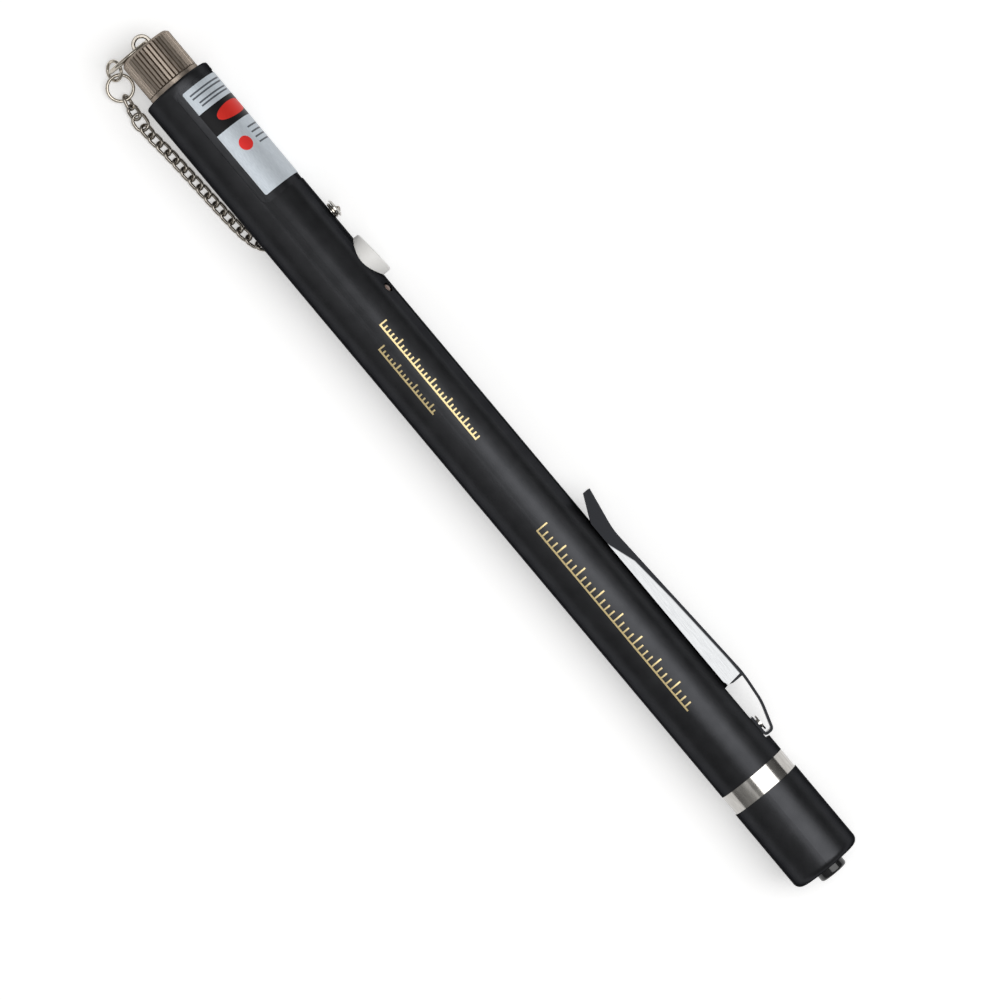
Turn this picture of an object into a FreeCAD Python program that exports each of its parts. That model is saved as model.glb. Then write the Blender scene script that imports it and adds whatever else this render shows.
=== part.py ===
import FreeCAD, Part
import math
import os

# A pen-type visual fault locator: a red laser in a black aluminium tube, for fibre testing.
# Millimetres. The X axis is the axis of the pen. The origin is at the mouth of the ferrule
# port; the tail lies along +X, the button, label and clip face +Y, and the pen lies on the
# floor under -Z with its tether chain beside it.

# ---------------------------------------------------------------- driving sizes
# Barrel: one aluminium tube, closed by a wall at the front.
barrel_diameter = 13.5
barrel_wall = 1.1
barrel_front_wall = 3.0
barrel_front_round = 0.5

# Port: a plated brass nose that the dust cap goes on, with a flange against the barrel.
nose_diameter = 8.0
nose_length = 6.35
nose_chamfer = 0.4
flange_diameter = 10.4
flange_thickness = 0.85
shank_diameter = 9.0
shank_length = 8.8
shank_bore = 7.0

# Split ceramic sleeve for 2.5 mm ferrules, and the stop behind it.
ferrule_diameter = 2.5
sleeve_wall = 0.35
sleeve_length = 8.0
sleeve_slit = 0.4
retainer_thickness = 1.2
retainer_hole = 3.0

# Laser module.
lens_diameter = 4.0
lens_edge = 1.0
lens_crown = 0.6
lens_distance = 3.0
housing_room = 0.35
housing_body_length = 8.0
light_path_diameter = 3.8
diode_flange_diameter = 5.6
diode_flange_thickness = 1.2
diode_can_diameter = 3.5
diode_can_length = 2.4
diode_depth = 3.0
diode_lead_diameter = 0.45
diode_lead_circle = 2.54
diode_ring_length = 1.4
diode_ring_hole = 3.8

# Board and the plastic frame that carries it.
board_length = 42.0
board_room = 0.85
board_thickness = 1.0
board_top_y = -0.6
board_grid = 1.0
board_lead_gap = 2.2
frame_wall = 0.95
frame_end_thickness = 1.2
frame_overhang = 1.0

# Power cells: two AAA, loose in the barrel.
cell_room = 0.4
cell_length = 44.5
cell_nub_diameter = 3.8
cell_nub_length = 1.0
cell_edge = 0.4
contact_diameter = 8.0
contact_thickness = 0.3
contact_bump = 0.45
contact_bump_diameter = 2.4

# Side button, its switch and the light beside it.
button_diameter = 8.4
button_from_front = 44.9
button_stand_front = 1.1
button_stand_rear = 1.66
button_edge_round = 0.35
button_depth = 3.75
button_hole_gap = 0.15
button_tab_reach = 1.0
button_tab_width = 4.0
button_tab_thickness = 0.7
switch_side = 6.0
switch_height = 1.8
plunger_diameter = 3.0
plunger_length = 1.7
light_from_front = 51.4
light_angle = 62.0
light_diameter = 1.8
light_inner_radius = 3.2
light_lead_diameter = 0.4
light_lead_spacing = 1.0

# Label plate in its shallow recess, wrapped round the button side.
recess_from_front = 1.77
recess_length = 25.0
recess_depth = 0.15
recess_angle = 208.0
recess_corner = 1.4
label_margin = 0.67
label_length = 23.0
label_angle = 185.0
label_thickness = 0.12
label_corner = 0.35

# Pocket clip: a folded channel of spring steel, its foot riveted in a milled flat.
clip_sheet = 0.5
clip_width = 5.2
clip_neck_width = 3.8
clip_tip_from_rear = 57.0
clip_touch_from_rear = 52.0
clip_knee_from_rear = 48.7
clip_shoulder_from_rear = 14.4
clip_crest_from_rear = 8.7
clip_root_from_rear = 3.7
clip_tip_height = 3.6
clip_tip_wall = 1.2
clip_knee_height = 2.1
clip_shoulder_height = 3.62
clip_crest_height = 3.0
clip_root_height = 1.35
clip_wall_gap = 0.08
clip_wall_round = 1.5
clip_foot_length = 3.9
clip_foot_gap = 0.02
clip_knee_round = 14.0
clip_shoulder_round = 22.0
clip_crest_round = 12.0
clip_root_round = 0.75
clip_foot_round = 0.45
clip_hole_diameter = 2.4
flat_from_rear = 14.6
flat_length = 11.5
flat_depth = 0.74
rivet_diameter = 1.8
rivet_head_diameter = 3.0
rivet_head_height = 0.3
rivet_lift = 0.28
rivet_from_root = 2.2

# Tail: chrome ring, screwed cap, push switch.
ring_length = 3.9
tail_step = 0.15
tail_length = 17.3
tail_end_round = 1.4
tail_end_wall = 2.0
tail_wall = 1.7
spigot_wall = 1.0
spigot_reach = 5.0
spigot_chamfer = 0.3
tail_button_diameter = 5.5
tail_button_stand = 1.7
tail_button_round = 0.5
tail_button_flange = 7.4
tail_button_flange_thickness = 1.0
tail_button_travel = 1.2
tail_switch_length = 8.0
tail_switch_inset = 1.0
tail_plunger_diameter = 3.4
tail_plunger_length = 3.2
tail_hole_chamfer = 0.35

# Tail spring between the switch and the rear cell.
spring_wire = 0.6
spring_diameter = 7.0
spring_turns = 5
spring_space = 11.11

# Dust cap.
cap_diameter = 10.4
cap_length = 7.94
cap_front_wall = 0.8
cap_bore_gap = 0.075
cap_seal_thickness = 0.3
cap_front_chamfer = 0.5
cap_rear_chamfer = 0.2
knurl_ridges = 42
knurl_depth = 0.3
knurl_groove_share = 0.42

# Eyelet, rings and tether chain.
eyelet_width = 3.8
eyelet_reach = 2.6
eyelet_wire = 0.8
cap_ring_diameter = 9.6
cap_ring_wire = 0.6
cap_ring_from_cap = 1.1
cap_ring_lean = 4.0
jump_ring_diameter = 6.4
jump_ring_wire = 0.5
jump_ring_lean = 20.0
jump_ring_x = -0.8
jump_ring_y = -7.0
link_wire = 0.58
link_length = 3.48
link_width = 2.44
link_roll = 30.0
last_link_roll = 76.0
link_slack = 0.15
big_link_index = 2
big_link_length = 3.7
big_link_width = 2.9
big_link_roll = 21.0
end_link_length = 4.9
end_link_width = 2.9
anchor_from_front = 34.5
anchor_head_diameter = 3.46
anchor_head_height = 0.5
anchor_shank_diameter = 1.7
anchor_socket_diameter = 1.5
wire_sides = 8
link_bend_steps = 8
ring_opening = 3.0

# Clearances.
fit_gap = 0.05
seat_gap = 0.02
loose_gap = 0.3

# ---------------------------------------------------------------- places along the axis
barrel_radius = barrel_diameter / 2
barrel_bore = barrel_diameter - 2 * barrel_wall
bore_radius = barrel_bore / 2
barrel_front = nose_length + flange_thickness
housing_body_diameter = barrel_bore - 2 * housing_room
board_width = barrel_bore - 2 * board_room
cell_diameter = barrel_bore - 2 * cell_room
tail_diameter = barrel_diameter + 2 * tail_step
tail_bore = tail_diameter - 2 * tail_wall
spigot_diameter = barrel_bore - 2 * fit_gap
spigot_bore = spigot_diameter - 2 * spigot_wall
shank_end = barrel_front + shank_length
retainer_front = sleeve_length + fit_gap
housing_front = retainer_front + retainer_thickness + fit_gap
housing_shoulder = shank_end + fit_gap
housing_rear = housing_shoulder + housing_body_length
diode_seat = housing_rear - diode_depth
board_front = housing_rear + board_lead_gap
board_rear = board_front + board_length
board_bottom_y = board_top_y - board_thickness
frame_end_front = board_rear + fit_gap
contact_front = frame_end_front + frame_end_thickness
cell_front = contact_front + contact_thickness + contact_bump + seat_gap
cells_rear = cell_front + 2 * cell_length + seat_gap
tail_switch_front = cells_rear + spring_space
tail_front = tail_switch_front - tail_switch_inset
barrel_rear = tail_front - ring_length
tail_rear = tail_front + tail_length
spigot_front = barrel_rear - spigot_reach
tail_switch_rear = tail_switch_front + tail_switch_length
button_x = barrel_front + button_from_front
light_x = barrel_front + light_from_front
anchor_x = barrel_front + anchor_from_front
flat_front = barrel_rear - flat_from_rear
flat_y = barrel_radius - flat_depth
clip_root_x = barrel_rear - clip_root_from_rear
rivet_x = clip_root_x - rivet_from_root
cap_front = nose_length - 0.03 - cap_length

AXIS = FreeCAD.Vector(1, 0, 0)
UP = FreeCAD.Vector(0, 0, 1)
SIDE = FreeCAD.Vector(0, 1, 0)


# ---------------------------------------------------------------- helpers
def vec(x, y, z):
    return FreeCAD.Vector(x, y, z)


def rod(start, end, diameter):
    """A round bar along X."""
    return Part.makeCylinder(diameter / 2, end - start, vec(start, 0, 0), AXIS)


def tube(start, end, outer, inner):
    """A round tube along X, its bore cut right through."""
    return rod(start, end, outer).cut(rod(start - 1, end + 1, inner))


def pin(base, direction, diameter, length):
    """A round bar from a point along any direction."""
    return Part.makeCylinder(diameter / 2, length, base, direction)


def turned(profile):
    """A turned piece: (x, radius) corners spun about the X axis."""
    points = [vec(x, 0, r) for x, r in profile]
    face = Part.Face(Part.makePolygon(points + points[:1]))
    return face.revolve(vec(0, 0, 0), AXIS, 360)


def block(x0, x1, y0, y1, z0, z1):
    return Part.makeBox(x1 - x0, y1 - y0, z1 - z0, vec(x0, y0, z0))


def round_edges(shape, radius, wanted):
    """Fillet the edges for which wanted(edge) is true."""
    return shape.makeFillet(radius, [e for e in shape.Edges if wanted(e)])


def ring_edge_at(x, radius):
    """A test for the circular edge at x with that radius."""
    def wanted(edge):
        curve = edge.Curve
        if not isinstance(curve, Part.Circle):
            return False
        return abs(curve.Center.x - x) < 1e-4 and abs(curve.Radius - radius) < 1e-4
    return wanted


def wrapped_plate(start, end, inner, outer, angle, corner):
    """A curved plate on the barrel, centred on the +Y side, with rounded corners."""
    begin = math.radians(90 - angle / 2)
    direction = vec(0, math.sin(begin), math.cos(begin))
    corners = [(start, inner), (end, inner), (end, outer), (start, outer)]
    points = [vec(x, 0, 0) + direction * r for x, r in corners]
    face = Part.Face(Part.makePolygon(points + points[:1]))
    plate = face.revolve(vec(0, 0, 0), AXIS * -1, angle)

    def radial(edge):
        return isinstance(edge.Curve, Part.Line) and abs(edge.Length - (outer - inner)) < 1e-4
    return round_edges(plate, corner, radial)


def wire_section(centre, tangent, normal, wire):
    """The section of a bent wire: a regular polygon square to the tangent."""
    side = tangent.cross(normal).normalize()
    top = vec(normal.x, normal.y, normal.z).normalize()
    points = []
    for index in range(wire_sides):
        angle = 2 * math.pi * (index + 0.5) / wire_sides
        points.append(centre + (top * math.cos(angle) + side * math.sin(angle)) * (wire / 2))
    return Part.Face(Part.makePolygon(points + points[:1]))


def swing(section, centre, normal, angle):
    """Bend a wire on: the solid that its section sweeps, and the section at the far end."""
    solid = section.revolve(centre, normal, angle)
    end = section.copy()
    end.rotate(centre, normal, angle)
    return solid, end


def wire_ring(diameter, wire, gap_angle=0.0):
    """A bent wire ring round the Z axis, with the small opening it was closed at."""
    radius = (diameter - wire) / 2
    section = wire_section(vec(radius, 0, 0), SIDE, UP, wire)
    return swing(section, vec(0, 0, 0), UP, 360 - gap_angle)[0]


def fuse_all(solids):
    return solids[0].multiFuse(solids[1:]).removeSplitter()


def joined(bends, sections):
    """One solid from bends that meet exactly: their outer faces and the two end sections."""
    faces = [sections[0], sections[-1]]
    for bend, near, far in zip(bends, sections, sections[1:]):
        for face in bend.Faces:
            middle = face.CenterOfMass
            reach = min((middle - near.CenterOfMass).Length, (middle - far.CenterOfMass).Length)
            if reach > seat_gap / 10:
                faces.append(face)
    shell = Part.Shell(faces)
    shell.sewShape()
    return Part.Solid(shell)


def coil(centre_x, radius, wire, rise, turns):
    """A coil about the X axis, made of tilted half rings that meet tangent to each other."""
    bends = []
    sections = []
    for index in range(2 * turns):
        side = 1 if index % 2 == 0 else -1
        start = vec(centre_x + index * rise / 2, 0, side * radius)
        end = vec(centre_x + (index + 1) * rise / 2, 0, -side * radius)
        normal = (end - start).cross(SIDE * side).normalize()
        if not sections:
            sections.append(wire_section(start, SIDE, normal, wire))
        bend, section = swing(sections[-1], (start + end) * 0.5, normal, 180)
        bends.append(bend)
        sections.append(section)
    return joined(bends, sections)


# ---------------------------------------------------------------- barrel and port
def make_barrel():
    body = rod(barrel_front, barrel_rear, barrel_diameter)
    body = round_edges(body, barrel_front_round, ring_edge_at(barrel_front, barrel_radius))
    body = body.cut(rod(barrel_front + barrel_front_wall, barrel_rear + 1, barrel_bore))
    body = body.cut(rod(barrel_front - 1, barrel_rear, shank_diameter + 2 * fit_gap))
    recess_start = barrel_front + recess_from_front
    body = body.cut(wrapped_plate(recess_start, recess_start + recess_length,
                                  barrel_radius - recess_depth, barrel_radius + 1,
                                  recess_angle, recess_corner))
    body = body.cut(pin(vec(button_x, 0, 0), SIDE,
                        button_diameter + 2 * button_hole_gap, barrel_diameter))
    body = body.cut(pin(vec(light_x, 0, 0), light_direction(),
                        light_diameter + 2 * fit_gap, barrel_diameter))
    body = body.cut(pin(vec(anchor_x, 0, 0), SIDE,
                        anchor_shank_diameter + 2 * seat_gap, barrel_diameter))
    body = body.cut(block(flat_front, flat_front + flat_length, flat_y, barrel_diameter,
                          -barrel_diameter, barrel_diameter))
    return body.cut(pin(vec(rivet_x, 0, 0), SIDE,
                        rivet_diameter + 2 * seat_gap, barrel_diameter))


def light_direction():
    angle = math.radians(light_angle)
    return vec(0, math.sin(angle), math.cos(angle))


def make_port_body():
    sleeve_seat = (ferrule_diameter + 2 * sleeve_wall) / 2 + seat_gap
    return turned([
        (0, sleeve_seat), (0, nose_diameter / 2 - nose_chamfer),
        (nose_chamfer, nose_diameter / 2), (nose_length, nose_diameter / 2),
        (nose_length, flange_diameter / 2), (barrel_front, flange_diameter / 2),
        (barrel_front, shank_diameter / 2), (shank_end, shank_diameter / 2),
        (shank_end, shank_bore / 2), (sleeve_length, shank_bore / 2),
        (sleeve_length, sleeve_seat)])


def make_ferrule_sleeve():
    sleeve = tube(0, sleeve_length, ferrule_diameter + 2 * sleeve_wall, ferrule_diameter)
    slit = block(-1, sleeve_length + 1, -sleeve_slit / 2, sleeve_slit / 2,
                 -ferrule_diameter, 0)
    return sleeve.cut(slit)


def make_sleeve_retainer():
    return tube(retainer_front, retainer_front + retainer_thickness,
                shank_bore - 2 * seat_gap, retainer_hole)


# ---------------------------------------------------------------- laser module
def make_laser_housing():
    lens_bore = lens_diameter / 2 + seat_gap
    lens_rear = housing_front + lens_distance
    seat = diode_flange_diameter / 2 + seat_gap
    return turned([
        (housing_front, lens_bore), (housing_front, shank_bore / 2 - seat_gap),
        (housing_shoulder, shank_bore / 2 - seat_gap),
        (housing_shoulder, housing_body_diameter / 2),
        (housing_rear, housing_body_diameter / 2), (housing_rear, seat),
        (diode_seat, seat), (diode_seat, light_path_diameter / 2),
        (lens_rear, light_path_diameter / 2), (lens_rear, lens_bore)])


def make_lens():
    rear = housing_front + lens_distance - seat_gap
    edge = rod(rear - lens_edge, rear, lens_diameter)
    crown_radius = (lens_diameter ** 2 / 4 + lens_crown ** 2) / (2 * lens_crown)
    ball = Part.makeSphere(crown_radius, vec(rear - lens_edge - lens_crown + crown_radius, 0, 0))
    crown = ball.common(rod(rear - lens_edge - lens_crown, rear - lens_edge, lens_diameter))
    return edge.fuse(crown).removeSplitter()


def make_laser_diode():
    front = diode_seat + seat_gap
    flange = rod(front, front + diode_flange_thickness, diode_flange_diameter)
    can = rod(front - diode_can_length, front, diode_can_diameter)
    leads = []
    for angle in (90, 210, 330):
        y = diode_lead_circle / 2 * math.cos(math.radians(angle))
        z = diode_lead_circle / 2 * math.sin(math.radians(angle))
        base = vec(front + diode_flange_thickness, y, z)
        leads.append(pin(base, AXIS, diode_lead_diameter,
                         board_front - fit_gap - base.x))
    return fuse_all([flange, can] + leads)


def make_diode_retainer():
    front = diode_seat + diode_flange_thickness + 2 * seat_gap
    return tube(front, front + diode_ring_length, diode_flange_diameter, diode_ring_hole)


# ---------------------------------------------------------------- board, switch and light
def make_inner_frame():
    outer = barrel_bore - 2 * fit_gap
    shell = tube(board_front - frame_overhang, frame_end_front, outer, outer - 2 * frame_wall)
    shell = shell.cut(block(0, barrel_rear, board_bottom_y, barrel_diameter,
                            -barrel_diameter, barrel_diameter))
    end = rod(frame_end_front, contact_front, outer)
    return shell.fuse(end).removeSplitter()


def make_circuit_board():
    return block(board_front, board_rear, board_bottom_y, board_top_y,
                 -board_width / 2, board_width / 2)


def make_board_chips():
    """Controller, driver, coil and two capacitors, in steps of the board's grid."""
    # From the board's front, length, middle across, width and height.
    parts = [(3, 4, 0, 4, 1), (9.5, 3, 2.4, 2.6, 0.9), (9.5, 2, -2.6, 1.4, 0.8),
             (13.5, 3.2, 0, 3.2, 1.4), (35, 2, -2.2, 1.3, 0.8)]
    chips = []
    for part in parts:
        from_front, length, z, width, height = [board_grid * steps for steps in part]
        x = board_front + from_front
        chips.append(block(x, x + length, board_top_y, board_top_y + height,
                           z - width / 2, z + width / 2))
    return Part.makeCompound(chips)


def make_tact_switch():
    body = block(button_x - switch_side / 2, button_x + switch_side / 2,
                 board_top_y, board_top_y + switch_height, -switch_side / 2, switch_side / 2)
    well = pin(vec(button_x, board_top_y + 0.2, 0), SIDE,
               plunger_diameter + 2 * fit_gap, switch_height)
    return body.cut(well)


def button_foot_y():
    """Underside of the button's drum."""
    return barrel_radius - button_depth


def make_side_button():
    top_y = barrel_radius + button_stand_rear + 1
    drum = pin(vec(button_x, button_foot_y(), 0), SIDE, button_diameter, top_y - button_foot_y())
    radius = button_diameter / 2
    far = 3 * radius
    slope = (button_stand_rear - button_stand_front) / button_diameter

    def top_at(x):
        return barrel_radius + button_stand_front + (x + radius) * slope
    wedge = Part.Face(Part.makePolygon([
        vec(button_x - far, top_at(-far), -far), vec(button_x + far, top_at(far), -far),
        vec(button_x + far, top_y + far, -far), vec(button_x - far, top_y + far, -far),
        vec(button_x - far, top_at(-far), -far)])).extrude(vec(0, 0, 2 * far))
    drum = drum.cut(wedge)
    rims = [e for e in drum.Edges if isinstance(e.Curve, Part.Ellipse)]
    drum = drum.makeFillet(button_edge_round, rims)
    tab_top = math.sqrt(bore_radius ** 2 - button_tab_width ** 2 / 4) - fit_gap
    reach = radius + button_tab_reach
    tabs = block(button_x - reach, button_x + reach, tab_top - button_tab_thickness, tab_top,
                 -button_tab_width / 2, button_tab_width / 2)
    stem_foot = plunger_top_y() + seat_gap
    stem = pin(vec(button_x, stem_foot, 0), SIDE, plunger_diameter, button_foot_y() - stem_foot)
    return fuse_all([drum, tabs, stem])


def plunger_top_y():
    return board_top_y + switch_height + 0.8


def make_switch_plunger():
    return pin(vec(button_x, plunger_top_y() - plunger_length, 0), SIDE,
               plunger_diameter, plunger_length)


def make_indicator_light():
    direction = light_direction()
    centre = vec(light_x, 0, 0)
    dome_radius = light_diameter / 2
    body_end = barrel_radius - dome_radius
    body = pin(centre + direction * light_inner_radius, direction, light_diameter,
               body_end - light_inner_radius)
    dome = Part.makeSphere(dome_radius, centre + direction * body_end)
    leads = []
    for side in (-1, 1):
        top = centre + direction * (light_inner_radius + 0.2)
        top.x += side * light_lead_spacing / 2
        leads.append(pin(top, SIDE * -1, light_lead_diameter, top.y - board_top_y))
    return fuse_all([body, dome] + leads)


# ---------------------------------------------------------------- power
def make_front_contact():
    plate = rod(contact_front, contact_front + contact_thickness, contact_diameter)
    bump_end = contact_front + contact_thickness + contact_bump
    bump = rod(contact_front + contact_thickness, bump_end, contact_bump_diameter)
    return plate.fuse(bump).removeSplitter()


def make_cell(front):
    radius = cell_diameter / 2
    shoulder = front + cell_nub_length
    rear = front + cell_length
    return turned([
        (front, 0), (front, cell_nub_diameter / 2), (shoulder, cell_nub_diameter / 2),
        (shoulder, radius - cell_edge), (shoulder + cell_edge, radius),
        (rear - cell_edge, radius), (rear, radius - cell_edge), (rear, 0)])


def make_tail_spring():
    radius = (spring_diameter - spring_wire) / 2
    front = cells_rear + seat_gap + spring_wire / 2
    rear = tail_switch_front - seat_gap - spring_wire / 2
    return coil(front, radius, spring_wire, (rear - front) / spring_turns, spring_turns)


# ---------------------------------------------------------------- label and clip
def make_label_plate():
    start = barrel_front + recess_from_front + label_margin
    inner = barrel_radius - recess_depth + seat_gap / 2
    return wrapped_plate(start, start + label_length, inner, inner + label_thickness,
                         label_angle, label_corner)


def offset_corners(corners, distance):
    """Corner points of an open path moved sideways, mitred at each corner."""
    moved = []
    for index, point in enumerate(corners):
        before = corners[max(index - 1, 0)]
        after = corners[min(index + 1, len(corners) - 1)]
        into = (point - before) if index else (after - point)
        out = (after - point) if index < len(corners) - 1 else into
        side_in = UP.cross(vec(into.x, into.y, into.z).normalize())
        side_out = UP.cross(vec(out.x, out.y, out.z).normalize())
        bisector = (side_in + side_out).normalize()
        moved.append(point + bisector * (distance / bisector.dot(side_in)))
    return moved


def rounded_path(corners, radii):
    """Lines joined by tangent arcs: the ends, then each arc's three points."""
    edges = []
    start = corners[0]
    for corner, after, radius in zip(corners[1:], corners[2:], radii):
        back = (start - corner).normalize()
        ahead = (after - corner).normalize()
        half = back.getAngle(ahead) / 2
        reach = radius / math.tan(half)
        middle = (back + ahead).normalize()
        centre = corner + middle * (radius / math.sin(half))
        first = corner + back * reach
        last = corner + ahead * reach
        edges.append(Part.LineSegment(start, first).toShape())
        edges.append(Part.Arc(first, centre - middle * radius, last).toShape())
        start = last
    edges.append(Part.LineSegment(start, corners[-1]).toShape())
    return edges


def clip_point(from_rear, height):
    """A point of the clip's middle line, its outer face that high above the barrel."""
    return vec(barrel_rear - from_rear, barrel_radius + height - clip_sheet / 2, 0)


def clip_corners():
    """Corners of the clip's middle line, from the tip back to the root and along the foot."""
    foot_y = flat_y + clip_foot_gap + clip_sheet / 2
    return [clip_point(clip_tip_from_rear, clip_tip_height),
            clip_point(clip_knee_from_rear, clip_knee_height),
            clip_point(clip_shoulder_from_rear, clip_shoulder_height),
            clip_point(clip_crest_from_rear, clip_crest_height),
            clip_point(clip_root_from_rear, clip_root_height),
            vec(clip_root_x, foot_y, 0), vec(clip_root_x - clip_foot_length, foot_y, 0)]


def clip_strip():
    """The bent sheet of the clip, as wide as its channel."""
    corners = clip_corners()
    # The knee turns outward, the other bends turn inward.
    rounds = [clip_knee_round, clip_shoulder_round, clip_crest_round, clip_root_round,
              clip_foot_round]
    turns = [1, -1, -1, -1, -1]
    half = clip_sheet / 2
    upper = offset_corners(corners, half)
    lower = offset_corners(corners, -half)
    top = rounded_path(upper, [r - t * half for r, t in zip(rounds, turns)])
    bottom = rounded_path(lower, [r + t * half for r, t in zip(rounds, turns)])
    ends = [Part.LineSegment(upper[0], lower[0]).toShape(),
            Part.LineSegment(upper[-1], lower[-1]).toShape()]
    face = Part.Face(Part.Wire(Part.__sortEdges__(top + bottom + ends)))
    face.translate(vec(0, 0, -clip_width / 2))
    return face.extrude(vec(0, 0, clip_width))


def clip_wall(z):
    """One side wall of the channel: down to the barrel from the tip back, its rear end round."""
    tip, knee, shoulder = clip_corners()[:3]
    inner_z = clip_width / 2 - clip_sheet
    foot_y = math.sqrt(barrel_radius ** 2 - inner_z ** 2) + clip_wall_gap
    tip_low = tip - SIDE * clip_tip_wall
    touch = vec(barrel_rear - clip_touch_from_rear, foot_y, 0)
    rear = vec(shoulder.x, foot_y, 0)
    outline = [tip, tip_low, touch, rear, shoulder, knee]
    points = [p + UP * z for p in outline]
    wall = Part.Face(Part.makePolygon(points + points[:1])).extrude(UP * clip_sheet)

    def low_rear(edge):
        middle = edge.CenterOfMass
        return abs(middle.x - rear.x) < 1e-4 and abs(middle.y - rear.y) < 1e-4
    return round_edges(wall, clip_wall_round, low_rear)


def make_pocket_clip():
    strip = clip_strip()
    neck_from = barrel_rear - clip_shoulder_from_rear
    for side in (-1, 1):
        z0 = side * clip_neck_width / 2
        z1 = side * clip_width
        strip = strip.cut(block(neck_from, clip_root_x + clip_width, 0, barrel_diameter,
                                min(z0, z1), max(z0, z1)))
    near, far = clip_width / 2 - clip_sheet, -clip_width / 2
    clip = fuse_all([strip, clip_wall(near), clip_wall(far)])
    hole = pin(vec(rivet_x, 0, 0), SIDE, clip_hole_diameter,
               flat_y + clip_foot_gap + clip_sheet + fit_gap)
    return clip.cut(hole)


def make_clip_rivet():
    head_y = flat_y + clip_sheet + rivet_lift
    shank_foot = bore_radius - 0.2
    shank = pin(vec(rivet_x, shank_foot, 0), SIDE, rivet_diameter, head_y - shank_foot)
    head = pin(vec(rivet_x, head_y, 0), SIDE, rivet_head_diameter, rivet_head_height)
    return shank.fuse(head).removeSplitter()


# ---------------------------------------------------------------- tail
def make_chrome_ring():
    return tube(barrel_rear + seat_gap, tail_front - seat_gap, barrel_diameter,
                spigot_diameter + 2 * seat_gap)


def make_tail_cap():
    radius = tail_diameter / 2
    shell = rod(tail_front, tail_rear, tail_diameter)
    shell = round_edges(shell, tail_end_round, ring_edge_at(tail_rear, radius))
    spigot = turned([(spigot_front, 0), (spigot_front, spigot_diameter / 2 - spigot_chamfer),
                     (spigot_front + spigot_chamfer, spigot_diameter / 2),
                     (tail_front, spigot_diameter / 2), (tail_front, 0)])
    cap = shell.fuse(spigot).removeSplitter()
    cap = cap.cut(rod(spigot_front - 1, tail_switch_front, spigot_bore))
    cap = cap.cut(rod(tail_switch_front, tail_rear - tail_end_wall, tail_bore))
    cap = cap.cut(rod(tail_front, tail_rear + 1, tail_button_diameter + 4 * fit_gap))
    hole = (tail_button_diameter + 4 * fit_gap) / 2
    chamfer = turned([(tail_rear - tail_hole_chamfer, 0), (tail_rear - tail_hole_chamfer, hole),
                      (tail_rear, hole + tail_hole_chamfer), (tail_rear + 1, hole + 1),
                      (tail_rear + 1, 0)])
    return cap.cut(chamfer)


def make_tail_switch():
    front = tail_switch_front
    shoulder = front + seat_gap
    small = rod(front, shoulder, spigot_bore - 2 * fit_gap)
    large = rod(shoulder, tail_switch_rear, tail_bore - 2 * fit_gap)
    body = small.fuse(large).removeSplitter()
    well = rod(tail_switch_rear - tail_plunger_length + 0.2, tail_switch_rear + 1,
               tail_plunger_diameter + 2 * fit_gap)
    return body.cut(well)


def tail_plunger_rear():
    return tail_rear - tail_end_wall - tail_button_flange_thickness - fit_gap - seat_gap


def make_tail_plunger():
    front = tail_switch_rear - tail_plunger_length + 0.2 + tail_button_travel + loose_gap
    return rod(front, tail_plunger_rear(), tail_plunger_diameter)


def make_tail_button():
    end = tail_rear + tail_button_stand
    flange_rear = tail_rear - tail_end_wall - fit_gap
    shaft = rod(flange_rear, end, tail_button_diameter)
    shaft = round_edges(shaft, tail_button_round, ring_edge_at(end, tail_button_diameter / 2))
    flange = rod(flange_rear - tail_button_flange_thickness, flange_rear, tail_button_flange)
    return shaft.fuse(flange).removeSplitter()


# ---------------------------------------------------------------- dust cap and tether
def knurled_rod(start, end):
    """A bar with flat ridges along it, V grooves between them, pulled along X."""
    outer = cap_diameter / 2
    pitch = 2 * math.pi / knurl_ridges
    flat = pitch * (1 - knurl_groove_share) / 2
    points = []
    for index in range(knurl_ridges):
        middle = index * pitch
        for angle, radius in ((middle - flat, outer), (middle + flat, outer),
                              (middle + pitch / 2, outer - knurl_depth)):
            points.append(vec(start, radius * math.sin(angle), radius * math.cos(angle)))
    face = Part.Face(Part.makePolygon(points + points[:1]))
    return face.extrude(AXIS * (end - start))


def make_dust_cap():
    outer = cap_diameter / 2
    rear = cap_front + cap_length
    blank = turned([(cap_front, 0), (cap_front, outer - cap_front_chamfer),
                    (cap_front + cap_front_chamfer, outer), (rear - cap_rear_chamfer, outer),
                    (rear, outer - cap_rear_chamfer), (rear, 0)])
    cap = blank.common(knurled_rod(cap_front - 1, rear + 1))
    cap = cap.cut(rod(cap_front + cap_front_wall, rear + 1, nose_diameter + 2 * cap_bore_gap))
    for y in eyelet_leg_places():
        cap = cap.cut(pin(vec(cap_front - 1, y, 0), AXIS, eyelet_wire + 2 * seat_gap, 3))
    return cap


def make_cap_seal():
    front = cap_front + cap_front_wall
    return rod(front + seat_gap, front + cap_seal_thickness, nose_diameter)


def eyelet_leg_places():
    half = (eyelet_width - eyelet_wire) / 2
    return (-half, half)


def make_cap_eyelet():
    """A wire staple with a round head, its two legs through the cap's front wall."""
    low, high = eyelet_leg_places()
    head_x = cap_front - (eyelet_reach - eyelet_wire / 2 - high)
    wall_end = cap_front + cap_front_wall
    section = wire_section(vec(wall_end, low, 0), AXIS * -1, UP, eyelet_wire)
    leg = section.extrude(AXIS * (head_x - wall_end))
    section.translate(AXIS * (head_x - wall_end))
    bow, section = swing(section, vec(head_x, 0, 0), UP, -180)
    return fuse_all([leg, bow, section.extrude(AXIS * (wall_end - head_x))])


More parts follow.
